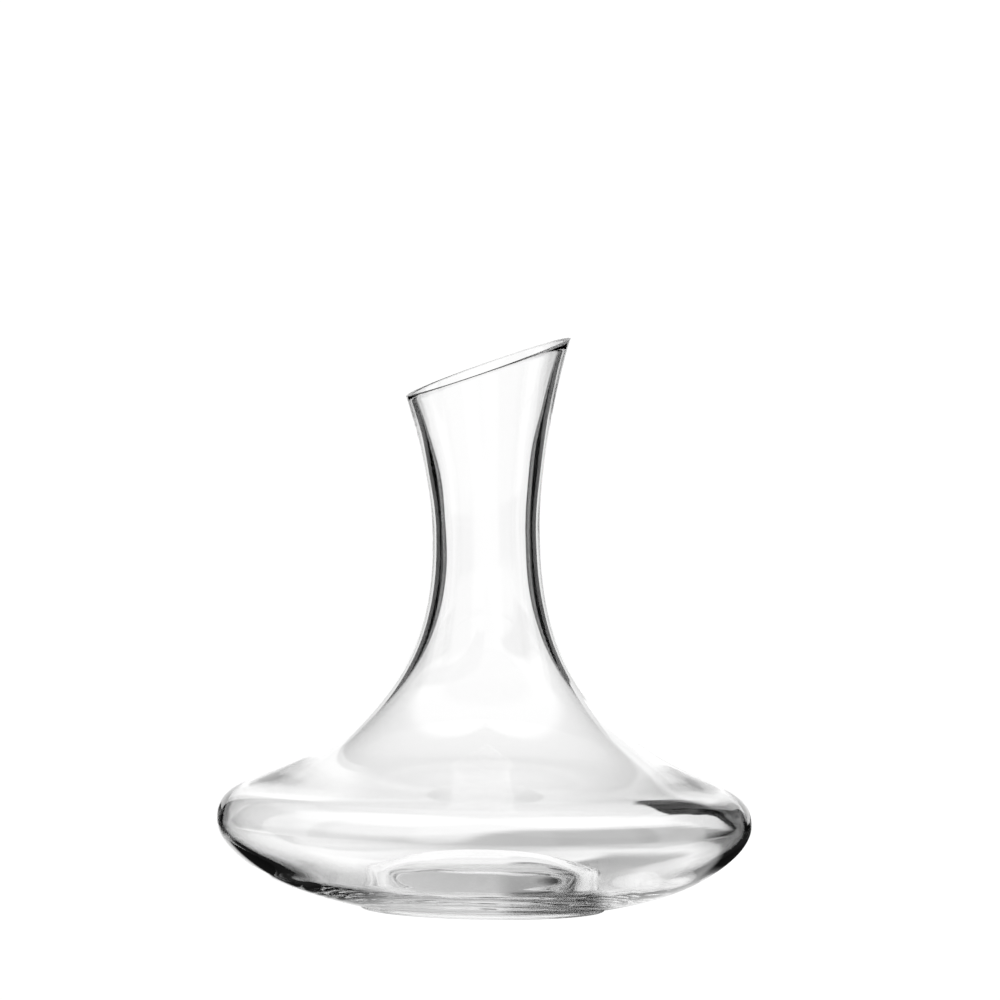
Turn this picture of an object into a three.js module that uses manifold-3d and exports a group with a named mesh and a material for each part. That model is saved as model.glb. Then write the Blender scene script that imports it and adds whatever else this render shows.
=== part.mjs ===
// Wine decanter of clear blown glass: a wide, low bowl blown in one with a tall neck and a slanted
// mouth, standing on a low ring of glass laid on under its base while hot. The base is kicked up
// inside the ring. Millimetres, +Z up, origin at the centre of the circle the ring rests on, and the
// high side of the mouth towards +X.
import * as THREE from "three";
import { mergeVertices } from "three/addons/utils/BufferGeometryUtils.js";
import Module from "manifold-3d";

// Bowl and neck
const BELLY_RADIUS = 109.5;
const BELLY_HEIGHT = 35.5;
const WAIST_RADIUS = 22; // narrowest part of the neck
const WAIST_HEIGHT = 155;

// Kicked-up base
const KICK_HEIGHT = 15; // underside at the centre, above the surface the decanter stands on

// Foot ring
const RING_OUTER_RADIUS = 50;
const RING_INNER_RADIUS = 41;
const RING_OUTER_HEIGHT = 1.4; // where its outer edge meets the bowl
const RING_INNER_HEIGHT = 4; // where its inner edge meets the kick
const RING_CHAMFER = 0.5;

// Mouth: the neck flares past it and is sheared off on a slant
const MOUTH_SLANT = 20.4; // degrees from level
const MOUTH_CENTRE = [-1.2, 0, 222.6];
const FLARE_RADIUS = 43;
const FLARE_HEIGHT = 245;

// The hand-drawn neck bends a little towards the low side of the mouth
const BEND_START = 94; // height at which the bend begins
const BEND_RADIUS = 1560; // of the circle it follows

const SIDES = 56; // of each ring of vertices
const SHEARS_SIZE = 200; // of the block that takes the end off the neck

// The outer outline runs from the centre of the underside, out under the bowl, up round the belly
// and in to the neck. At each station it passes through a radius and height with a heading in
// degrees (0 outwards, 90 up), and keeps near that heading over the lengths in reach, before and
// after. wall is the thickness of the glass there and steps the number of straight pieces on to
// the next station.
const KICK = { at: [0, KICK_HEIGHT], heading: 0, reach: [0, 23], wall: 6.5, steps: 6 };
const SEAT = {
  at: [RING_INNER_RADIUS, RING_INNER_HEIGHT],
  heading: -30,
  reach: [13, 3],
  wall: 5.5,
  steps: 3,
};
const HEEL = {
  at: [RING_OUTER_RADIUS, RING_OUTER_HEIGHT],
  heading: 8,
  reach: [3, 10],
  wall: 5,
  steps: 5,
};
const FLANK = { at: [91, 14.3], heading: 31, reach: [14, 13], wall: 3.2, steps: 5 };
const BELLY = {
  at: [BELLY_RADIUS, BELLY_HEIGHT],
  heading: 90,
  reach: [7, 17.5],
  wall: 2.6,
  steps: 8,
};
const SHOULDER = { at: [62.5, 68.7], heading: 143.3, reach: [33.5, 38], wall: 2.8, steps: 8 };
const WAIST = {
  at: [WAIST_RADIUS, WAIST_HEIGHT],
  heading: 90,
  reach: [42.5, 23],
  wall: 4.4,
  steps: 7,
};
const FLARE = { at: [FLARE_RADIUS, FLARE_HEIGHT], heading: 63.4, reach: [26, 0], wall: 2.4 };
const OUTER = [KICK, SEAT, HEEL, FLANK, BELLY, SHOULDER, WAIST, FLARE];

const GLASS = new THREE.MeshStandardMaterial({
  color: 0xf4f8f7,
  roughness: 0.02,
  metalness: 0,
  transparent: true,
  opacity: 0.35,
});

const wasm = await Module();
wasm.setup();

const direction = (degrees) => {
  const angle = THREE.MathUtils.degToRad(degrees);
  return new THREE.Vector2(Math.cos(angle), Math.sin(angle));
};

// One smooth piece of outline between two stations. The reaches stretch with the distance between
// the stations, so that an inset outline keeps the character of the outer one.
function arc(from, to, stretch = 1) {
  const start = new THREE.Vector2(...from.at);
  const end = new THREE.Vector2(...to.at);
  return new THREE.CubicBezierCurve(
    start,
    start.clone().addScaledVector(direction(from.heading), from.reach[1] * stretch),
    end.clone().addScaledVector(direction(to.heading), -to.reach[0] * stretch),
    end,
  );
}

// The station straight across the wall from an outer one.
function across(station) {
  const at = new THREE.Vector2(...station.at);
  at.addScaledVector(direction(station.heading + 90), station.wall);
  return { ...station, at: at.toArray() };
}

const distance = (a, b) => Math.hypot(a.at[0] - b.at[0], a.at[1] - b.at[1]);

// The points of an outline through a list of stations, or of the outline across the wall from it.
function outline(stations, inside = false) {
  const points = [];
  for (let i = 0; i + 1 < stations.length; i++) {
    const [from, to] = [stations[i], stations[i + 1]];
    const piece = inside
      ? arc(across(from), across(to), distance(across(from), across(to)) / distance(from, to))
      : arc(from, to);
    points.push(...piece.getPoints(from.steps).slice(i ? 1 : 0));
  }
  return points;
}

// A closed outline turned round the vertical axis.
function turned(points) {
  return new THREE.LatheGeometry(points, SIDES).rotateX(Math.PI / 2);
}

// How far the neck's centre line has moved towards -X at a height.
function bend(height) {
  const rise = Math.max(height - BEND_START, 0);
  return rise ** 2 / (2 * BEND_RADIUS);
}

function bent(geometry) {
  const position = geometry.getAttribute("position");
  for (let i = 0; i < position.count; i++)
    position.setX(i, position.getX(i) - bend(position.getZ(i)));
  return geometry;
}

function toSolid(geometry) {
  const bare = geometry.clone();
  bare.deleteAttribute("normal");
  bare.deleteAttribute("uv");
  const merged = mergeVertices(bare, 1e-4);
  return new wasm.Manifold(
    new wasm.Mesh({
      numProp: 3,
      vertProperties: merged.getAttribute("position").array,
      triVerts: new Uint32Array(merged.index.array),
    }),
  );
}

function toGeometry(solid) {
  const mesh = solid.getMesh();
  const geometry = new THREE.BufferGeometry();
  geometry.setAttribute("position", new THREE.BufferAttribute(mesh.vertProperties, 3));
  geometry.setIndex(new THREE.BufferAttribute(mesh.triVerts, 1));
  geometry.computeVertexNormals();
  return geometry;
}

// Bowl, neck and mouth are one wall of glass, blown from one gather and sheared at the mouth.
function blownBody() {
  const wall = [...outline(OUTER), ...outline(OUTER, true).reverse()];
  const shears = new THREE.BoxGeometry(SHEARS_SIZE, SHEARS_SIZE, SHEARS_SIZE);
  shears.translate(0, 0, SHEARS_SIZE / 2);
  shears.rotateY(-THREE.MathUtils.degToRad(MOUTH_SLANT)).translate(...MOUTH_CENTRE);
  return toGeometry(toSolid(bent(turned(wall))).subtract(toSolid(shears)));
}

// The ring fills the corner between the kick and the surface below, and its underside is flat.
function footRing() {
  const section = [
    ...outline([SEAT, HEEL]),
    new THREE.Vector2(RING_OUTER_RADIUS, RING_CHAMFER),
    new THREE.Vector2(RING_OUTER_RADIUS - RING_CHAMFER, 0),
    new THREE.Vector2(RING_INNER_RADIUS + RING_CHAMFER, 0),
    new THREE.Vector2(RING_INNER_RADIUS, RING_CHAMFER),
  ];
  return turned([...section, section[0]].reverse());
}

function piece(name, geometry) {
  const mesh = new THREE.Mesh(geometry, GLASS.clone());
  mesh.name = name;
  return mesh;
}

const decanter = new THREE.Group();
decanter.name = "wine_decanter";
decanter.add(piece("blown_body", blownBody()), piece("foot_ring", footRing()));

export default decanter;
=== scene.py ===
"""The looks of the wine decanter: clear blown glass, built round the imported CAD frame."""

import math

import bpy
import numpy as np
from mathutils import Matrix, Vector

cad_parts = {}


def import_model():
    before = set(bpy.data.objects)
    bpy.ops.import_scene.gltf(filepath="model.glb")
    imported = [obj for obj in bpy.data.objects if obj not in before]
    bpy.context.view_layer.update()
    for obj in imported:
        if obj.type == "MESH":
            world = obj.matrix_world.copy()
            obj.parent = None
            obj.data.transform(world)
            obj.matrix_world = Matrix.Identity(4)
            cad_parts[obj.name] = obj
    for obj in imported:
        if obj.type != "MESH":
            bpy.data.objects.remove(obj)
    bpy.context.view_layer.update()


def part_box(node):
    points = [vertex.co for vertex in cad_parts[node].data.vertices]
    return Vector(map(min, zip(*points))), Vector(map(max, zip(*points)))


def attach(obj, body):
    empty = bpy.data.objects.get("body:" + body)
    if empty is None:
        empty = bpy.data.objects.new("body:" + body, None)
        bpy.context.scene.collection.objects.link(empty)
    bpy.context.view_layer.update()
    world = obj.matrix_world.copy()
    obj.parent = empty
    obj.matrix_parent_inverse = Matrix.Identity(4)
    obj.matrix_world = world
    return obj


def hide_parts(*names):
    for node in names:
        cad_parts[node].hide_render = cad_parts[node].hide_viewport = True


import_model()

MM = 0.001

# Stations of the outer outline, as the CAD has them: radius and height, heading in degrees (0
# outwards, 90 up), reach of the curve before and after, and the wall's thickness, in millimetres.
BELLY_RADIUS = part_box("blown_body")[1].x / MM
RING_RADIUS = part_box("foot_ring")[1].x / MM
RING_INNER_RADIUS = 41
KICK = dict(at=(0, 15), heading=0, reach=(0, 23), wall=6.5)
SEAT = dict(at=(RING_INNER_RADIUS, 4), heading=-30, reach=(13, 3), wall=5.5)
HEEL = dict(at=(RING_RADIUS, 1.4), heading=8, reach=(3, 10), wall=5)
FLANK = dict(at=(91, 14.3), heading=31, reach=(14, 13), wall=3.2)
BELLY = dict(at=(BELLY_RADIUS, 35.5), heading=90, reach=(7, 17.5), wall=2.6)
SHOULDER = dict(at=(62.5, 68.7), heading=143.3, reach=(33.5, 38), wall=2.8)
WAIST = dict(at=(22, 155), heading=90, reach=(42.5, 23), wall=4.4)
FLARE = dict(at=(43, 245), heading=63.4, reach=(26, 0), wall=2.4)
OUTLINE = [KICK, SEAT, HEEL, FLANK, BELLY, SHOULDER, WAIST, FLARE]

MOUTH_SLANT = math.radians(20.4)
MOUTH_CENTRE = np.array([-1.2, 0, 222.6])
BEND_START, BEND_RADIUS = 94, 1560

AROUND = 192  # columns of faces round the axis
STEPS = [22, 10, 22, 26, 34, 34]  # rows of faces from each station to the next, up to the waist
NECK_STEPS = 34  # rows from the waist to the mouth
TRIAL_POINTS = 400  # tried along the flare to find where the slanted mouth cuts it
RIM_STEPS = 12
LIP_HEIGHT = 0.6
LIP_ROUGHNESS = 0.35
GLASS_IOR = 1.5

FOOT_GAP = 0.05  # left between the ring and the body, so that their faces don't coincide
FOOT_EDGE = 0.6  # radius of the ring's lower edges
FOOT_TOP_POINTS = 13
FOOT_EDGE_STEPS = 6

# Ripples of the inner face: amplitude in mm, wave in radians per mm along x, y and z, phase.
RIPPLES = [
    (0.09, (0.07, 0.05, 0.21), 1.0),
    (0.07, (0.12, -0.16, 0.13), 2.2),
    (0.04, (0.29, 0.2, -0.1), 0.4),
    (0.03, (-0.22, 0.33, 0.17), 4.0),
]
# How much of the ripple shows at each height: it is plain in the neck and over the foot, and the
# bowl is nearly smooth.
RIPPLE_HEIGHTS = (0, 13, 24, 110, 150, 235)
RIPPLE_STRENGTHS = (0.35, 0.35, 0.05, 0.05, 0.5, 0.5)
# How much thicker the neck's wall is than in the CAD at each height, in mm.
WALL_HEIGHTS = (140, 160, 200, 235)
WALL_EXTRA = (0, -0.2, 0.45, 0.45)
CALM_ROWS = 10  # rows below the lip over which ripple and extra thickness fade out

POLE_SIZE = 1e-6  # mm, a row smaller than this is one point


def direction(degrees):
    return np.array([math.cos(math.radians(degrees)), math.sin(math.radians(degrees))])


def across(station):
    at = np.array(station["at"], float) + station["wall"] * direction(station["heading"] + 90)
    return dict(station, at=at)


def piece_of_outline(start, end, fractions, inside):
    """Points of the smooth curve between two stations, or of the one across the wall from it."""
    a, b = (across(start), across(end)) if inside else (start, end)
    p0, p3 = np.array(a["at"], float), np.array(b["at"], float)
    outer_gap = np.linalg.norm(np.subtract(end["at"], start["at"]))
    stretch = np.linalg.norm(p3 - p0) / outer_gap
    p1 = p0 + direction(a["heading"]) * a["reach"][1] * stretch
    p2 = p3 - direction(b["heading"]) * b["reach"][0] * stretch
    t = np.asarray(fractions)[..., None]
    return (1 - t) ** 3 * p0 + 3 * (1 - t) ** 2 * t * p1 + 3 * (1 - t) * t**2 * p2 + t**3 * p3


def placed(outline, azimuth):
    """Outline points (radius, height) turned to an azimuth, on the neck's bent centre line."""
    radius, height = outline[..., 0], outline[..., 1]
    bend = np.maximum(height - BEND_START, 0) ** 2 / (2 * BEND_RADIUS)
    x, y = radius * np.cos(azimuth) - bend, radius * np.sin(azimuth)
    return np.stack([x, y, np.broadcast_to(height, x.shape)], -1)


def wall_face(inside, rim):
    """One face of the wall as rows of points, from the centre of the base to the mouth's edge."""
    azimuth = np.arange(AROUND) / AROUND * 2 * math.pi
    rows = []
    for i, steps in enumerate(STEPS):
        fractions = np.arange(steps) / steps
        line = piece_of_outline(OUTLINE[i], OUTLINE[i + 1], fractions, inside)
        rows.append(placed(line[:, None, :], azimuth[None, :]))
    trial = np.linspace(0, 1, TRIAL_POINTS)
    line = piece_of_outline(WAIST, FLARE, trial, inside)
    up = np.array([-math.sin(MOUTH_SLANT), 0, math.cos(MOUTH_SLANT)])
    above = (placed(line[:, None, :], azimuth[None, :]) - MOUTH_CENTRE) @ up + rim
    cut = np.array([np.interp(0, above[:, k], trial) for k in range(AROUND)])
    fractions = np.linspace(0, 1, NECK_STEPS + 1)[:, None] * cut[None, :]
    neck = piece_of_outline(WAIST, FLARE, fractions, inside)
    rows.append(placed(neck, azimuth[None, :]))
    return np.concatenate(rows)


def mesh_from_rows(name, rows, closed=False):
    """A smooth mesh of quads over rows of points. A row of one repeated point becomes a pole."""
    count, around = rows.shape[:2]
    verts, index = [], np.zeros((count, around), int)
    for i, row in enumerate(rows):
        if np.ptp(row, axis=0).max() < POLE_SIZE:
            index[i] = len(verts)
            verts.append(row[0])
        else:
            index[i] = len(verts) + np.arange(around)
            verts.extend(row)
    faces = []
    for i in range(count if closed else count - 1):
        a, b = index[i], index[(i + 1) % count]
        for j in range(around):
            k = (j + 1) % around
            corners = [a[j], a[k], b[k], b[j]]
            faces.append([v for n, v in enumerate(corners) if v not in corners[:n]])
    mesh = bpy.data.meshes.new(name)
    mesh.from_pydata([tuple(np.array(v) * MM) for v in verts], [], faces)
    mesh.shade_smooth()
    mesh.update()
    obj = bpy.data.objects.new(name, mesh)
    bpy.context.scene.collection.objects.link(obj)
    return obj


def ripple(points):
    """How far hand-blown glass wanders from a true wall, for points in mm."""
    height = np.zeros(points.shape[:-1])
    for amplitude, wave, phase in RIPPLES:
        height += amplitude * np.sin(points @ np.array(wave) + phase)
    return height


def blown_body():
    """The whole wall, closed over the lip. The lip's own faces take the second material."""
    outer, inner = wall_face(False, LIP_HEIGHT), wall_face(True, LIP_HEIGHT)
    through = outer - inner
    through /= np.linalg.norm(through, axis=-1, keepdims=True)
    calm = np.clip((len(inner) - 1 - np.arange(len(inner))) / CALM_ROWS, 0, 1)[:, None, None]
    strength = np.interp(inner[..., 2], RIPPLE_HEIGHTS, RIPPLE_STRENGTHS)
    thicker = np.interp(inner[..., 2], WALL_HEIGHTS, WALL_EXTRA)
    inner = inner + through * (ripple(inner) * strength - thicker)[..., None] * calm
    centre, half = (outer[-1] + inner[-1]) / 2, (outer[-1] - inner[-1]) / 2
    rise = outer[-1] - outer[-2]
    rise /= np.linalg.norm(rise, axis=-1, keepdims=True)
    turn = (np.arange(1, RIM_STEPS) / RIM_STEPS * math.pi)[:, None, None]
    lip = centre + half * np.cos(turn) + rise * LIP_HEIGHT * np.sin(turn)
    obj = mesh_from_rows("blown_body_glass", np.concatenate([outer, lip, inner[::-1]]))
    for face in obj.data.polygons:
        if 0 <= face.index // AROUND - len(outer) + 1 < RIM_STEPS:
            face.material_index = 1
    return obj


def foot_ring():
    """The ring's section turned round the axis: its top follows the body, its lower edges are round."""
    fractions = np.linspace(0, 1, FOOT_TOP_POINTS)
    section = list(piece_of_outline(SEAT, HEEL, fractions, False) - [0, FOOT_GAP])
    outer_corner = (RING_RADIUS - FOOT_EDGE, FOOT_EDGE)
    inner_corner = (RING_INNER_RADIUS + FOOT_EDGE, FOOT_EDGE)
    for corner, start in ((outer_corner, 0), (inner_corner, -90)):
        for step in range(FOOT_EDGE_STEPS + 1):
            angle = start - 90 * step / FOOT_EDGE_STEPS
            section.append(np.array(corner) + FOOT_EDGE * direction(angle))
    azimuth = np.arange(AROUND) / AROUND * 2 * math.pi
    rows = placed(np.array(section)[:, None, :], azimuth[None, :])
    return mesh_from_rows("foot_ring_glass", rows[::-1], closed=True)


def glass(name, roughness=0):
    material = bpy.data.materials.new(name)
    material.use_nodes = True
    shader = material.node_tree.nodes["Principled BSDF"]
    shader.inputs["Base Color"].default_value = (1, 1, 1, 1)
    shader.inputs["Transmission Weight"].default_value = 1
    shader.inputs["Roughness"].default_value = roughness
    shader.inputs["IOR"].default_value = GLASS_IOR
    return material


body = blown_body()
body.data.materials.append(glass("body_glass"))
body.data.materials.append(glass("lip_glass", LIP_ROUGHNESS))
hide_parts("blown_body")
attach(body, "root")
ring = foot_ring()
ring.data.materials.append(glass("ring_glass"))
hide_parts("foot_ring")
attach(ring, "root")


# The stage. Seen straight, it is plain white all round. The glass sees something else: a white
# panel behind, black flags beside it, and a table that glows with painted light instead of being
# lit, with painted shade on it: grey near the decanter, a painted contact shadow round the foot,
# black patches and a dark streak. Their places, in metres and degrees, were fitted to the main
# view only, and other views show them too.

PAPER = 1.05  # what the camera sees round the decanter
BLACK = 0.004  # what is left of the light on a flag
BACKDROP_LIGHT = 1.055
PANEL_LIGHT = 1.02
BOUNCES = 32


class Nodes:
    """Short names for the few sums that the stage's light is painted with."""

    def __init__(self, tree):
        self.tree = tree
        tree.nodes.clear()

    def new(self, kind):
        return self.tree.nodes.new("ShaderNode" + kind)

    def put(self, socket, value):
        if isinstance(value, (int, float)):
            socket.default_value = value
        else:
            self.tree.links.new(value, socket)

    def math(self, operation, *values):
        node = self.new("Math")
        node.operation = operation
        for socket, value in zip(node.inputs, values):
            self.put(socket, value)
        return node.outputs[0]

    def add(self, a, b):
        return self.math("ADD", a, b)

    def times(self, a, b):
        return self.math("MULTIPLY", a, b)

    def minus(self, a, b):
        return self.math("SUBTRACT", a, b)

    def without(self, share):
        return self.minus(1.0, share)

    def size(self, value):
        return self.math("ABSOLUTE", value)

    def most(self, a, b):
        return self.math("MAXIMUM", a, b)

    def step(self, value, low, high, before=0, after=1):
        """From `before` up to low to `after` from high on, smoothly between them."""
        node = self.new("MapRange")
        node.interpolation_type = "SMOOTHSTEP"
        names = ("Value", "From Min", "From Max", "To Min", "To Max")
        for name, v in zip(names, (value, low, high, before, after)):
            self.put(node.inputs[name], v)
        return node.outputs["Result"]

    def mix(self, factor, a, b):
        node = self.new("Mix")
        for name, v in zip(("Factor", "A", "B"), (factor, a, b)):
            self.put(node.inputs[name], v)
        return node.outputs["Result"]

    def split(self, vector):
        node = self.new("SeparateXYZ")
        self.put(node.inputs[0], vector)
        return node.outputs

    def seen(self):
        """1 where the camera sees the stage straight, 0 where it shows in or through the glass."""
        return self.new("LightPath").outputs["Is Camera Ray"]


def emitter(name, paint, obj):
    material = bpy.data.materials.new(name)
    material.use_nodes = True
    n = Nodes(material.node_tree)
    light = paint(n, *n.split(n.new("NewGeometry").outputs["Position"]))
    emission = n.new("Emission")
    n.put(emission.inputs["Strength"], n.mix(n.seen(), light, PAPER))
    n.put(n.new("OutputMaterial").inputs["Surface"], emission.outputs[0])
    obj.data.materials.append(material)


def card(name, corners, paint):
    mesh = bpy.data.meshes.new(name)
    mesh.from_pydata(corners, [], [(0, 1, 2, 3)])
    obj = bpy.data.objects.new(name, mesh)
    bpy.context.scene.collection.objects.link(obj)
    obj.visible_camera = False
    emitter(name, paint, obj)
    return obj


def backdrop_light(n, x, y, z):
    """A white board with a slanting left end, and a black flag low at the right."""
    left = n.step(z, 0.03, 0.09, -0.168, -0.222)
    right = 0.25
    board = n.times(
        n.step(n.minus(x, left), -0.012, 0.012),
        n.step(n.minus(right, x), -0.012, 0.012),
    )
    top = n.step(x, 0.072, 0.115, 0.057, 0.022)
    low = n.step(x, 0.068, 0.094, 0.036, -0.012)
    flag = n.times(n.step(n.minus(top, z), -0.005, 0.005), n.step(n.minus(z, low), -0.003, 0.004))
    flag = n.times(flag, n.step(x, 0.065, 0.070))
    return n.add(BLACK, n.times(BACKDROP_LIGHT, n.times(board, n.without(flag))))


def table_light(n, x, y, z):
    """The table's glow, painted light in place of a lit table: white far behind, painted shade near the
    decanter with a painted contact shadow round the foot, and black painted shade that edges and
    streaks the bowl.
    """
    front = n.step(x, -0.06, 0.03, 0.222, 0.256)
    behind = n.step(n.minus(y, front), -0.01, 0.01)
    from_foot = n.math("SQRT", n.add(n.times(x, x), n.times(y, y)))
    # Painted shade: near the decanter the table glows grey, 0.92 at the left falling to 0.54 at the
    # right, and brighter towards the front, most so at the right.
    grey = n.step(x, -0.09, 0.02, 0.92, 0.54)
    grey = n.add(grey, n.times(n.step(y, 0.13, 0.235, 1, 0), n.step(x, -0.01, 0.05, 0.2, 0.4)))
    # Painted contact shadow: within 45 mm of the axis, under the foot, the table's glow drops to 0.62
    # of itself.
    grey = n.times(grey, n.step(from_foot, 0.045, 0.062, 0.62, 1))
    light = n.mix(behind, grey, PANEL_LIGHT)

    # Painted shade: black patches on the table at the left and at the right of the bowl, which edge it
    # dark in the glass.
    left = n.add(n.step(y, -0.05, 0.1, -0.045, -0.137), n.step(y, 0.1, 0.3, 0, -0.028))
    left_painted_shade = n.times(n.step(n.minus(left, x), -0.008, 0.012), n.step(x, -0.34, -0.3))
    left_painted_shade = n.times(left_painted_shade, n.times(n.step(y, -0.085, -0.06), n.step(y, 0.5, 0.4)))

    right = n.mix(n.step(y, 0.315, 0.33), n.step(y, 0.19, 0.29, 0.1, 0.128), 0.09)
    right_painted_shade = n.times(n.step(n.minus(x, right), -0.012, 0.012), n.step(x, 0.34, 0.3))
    right_painted_shade = n.times(right_painted_shade, n.times(n.step(y, -0.005, 0.02), n.step(y, 0.6, 0.5)))

    # Painted shade: a dark streak on the table under the bowl, a little right of the axis.
    off_streak = n.size(n.minus(x, n.step(y, -0.03, 0.1, 0.030, 0.072)))
    streak = n.times(n.step(y, -0.11, -0.09), n.step(y, 0.14, 0.05))
    streak = n.times(n.step(off_streak, 0.026, 0.015), streak)

    # Painted shade under the flags: the table is dark beyond about 0.4 m in the two back diagonal
    # sectors, 20 to 67 degrees either side of +Y.
    aside = n.size(x)
    shade_under_flags = n.step(n.minus(aside, n.times(y, 0.36)), 0, 0.03)
    shade_under_flags = n.times(shade_under_flags, n.step(n.minus(n.times(y, 2.4), aside), 0, 0.05))
    shade_under_flags = n.times(shade_under_flags, n.step(from_foot, 0.39, 0.42))

    # All the painted shade together takes up to 98.5 percent of the table's glow away, the streak a
    # little less.
    edges = n.most(left_painted_shade, right_painted_shade)
    dark = n.most(edges, n.most(shade_under_flags, n.times(streak, 0.95)))
    return n.times(light, n.without(n.times(dark, 0.985)))


def world():
    """The far surroundings, by direction in degrees: turn from +Y towards +X, and tilt upwards."""
    surroundings = bpy.data.worlds.new("studio")
    bpy.context.scene.world = surroundings
    surroundings.use_nodes = True
    n = Nodes(surroundings.node_tree)
    x, y, z = n.split(n.new("TexCoord").outputs["Generated"])
    turn = n.times(n.math("ARCTAN2", x, y), math.degrees(1))
    tilt = n.times(n.math("ARCSINE", z), math.degrees(1))

    right_edge = n.step(tilt, 11, 18, 19.5, 26)
    panel = n.times(n.step(turn, -21.5, -20), n.step(n.minus(turn, right_edge), 0.8, -0.8))
    dark_corner = n.times(n.step(turn, 4, 8), n.step(tilt, 25.5, 29))
    panel = n.times(panel, n.without(dark_corner))

    turn = n.size(turn)
    side = n.times(n.step(turn, 66, 70), n.step(turn, 100, 96))
    front = n.add(n.step(turn, 104, 112, 0, 0.4), n.step(turn, 144, 152, 0, 0.45))
    level = n.add(n.times(side, 0.85), front)
    level = n.add(level, n.add(n.times(panel, PANEL_LIGHT), BLACK))
    overhead = n.step(turn, 50, 60, 0.06, 1.0)
    light = n.mix(n.step(tilt, 36, 44), level, overhead)
    flags = n.times(n.step(turn, 20, 22), n.step(turn, 70, 66))
    below = n.times(0.95, n.without(flags))
    light = n.mix(n.step(tilt, -11, -13.5), light, below)

    background = n.new("Background")
    background.inputs["Color"].default_value = (1, 1, 1, 1)
    n.put(background.inputs["Strength"], n.mix(n.seen(), light, PAPER))
    n.put(n.new("OutputWorld").inputs["Surface"], background.outputs[0])


world()
BACK, LEFT, RIGHT, TALL = 0.35, -0.27, 0.34, 0.05
board = [(LEFT, BACK, 0), (RIGHT, BACK, 0), (RIGHT, BACK, TALL), (LEFT, BACK, TALL)]
card("backdrop", board, backdrop_light)
REACH, FLOOR = 0.45, -0.0004  # the table lies just under the foot
square = [(-REACH, -REACH), (REACH, -REACH), (REACH, REACH), (-REACH, REACH)]
card("table", [(x, y, FLOOR) for x, y in square], table_light)

scene = bpy.context.scene
scene.view_settings.view_transform = "Standard"
scene.cycles.max_bounces = BOUNCES
scene.cycles.transmission_bounces = BOUNCES
scene.cycles.glossy_bounces = BOUNCES

# Camera: far off, and looking down on the decanter a little.
DISTANCE, HEIGHT = 7.0, 0.632
AIM = (0.0043, 0, 0.1678)
WIDE_AT_DECANTER = 0.409  # what the picture takes in across, at the decanter
MIDDLE_HEIGHT = 0.118  # of the decanter
SENSOR_WIDTH = 36
ROLL = math.radians(0.97)
camera = bpy.data.cameras.new("camera")
view = bpy.data.objects.new("camera", camera)
scene.collection.objects.link(view)
away = Vector((0, -DISTANCE, HEIGHT)) - Vector(AIM)
camera.sensor_width = SENSOR_WIDTH
camera.lens = SENSOR_WIDTH * math.hypot(DISTANCE, HEIGHT - MIDDLE_HEIGHT) / WIDE_AT_DECANTER
aim = away.to_track_quat("Z", "Y").to_matrix().to_4x4()
view.matrix_world = Matrix.Translation((0, -DISTANCE, HEIGHT)) @ aim @ Matrix.Rotation(ROLL, 4, "Z")
scene.camera = view
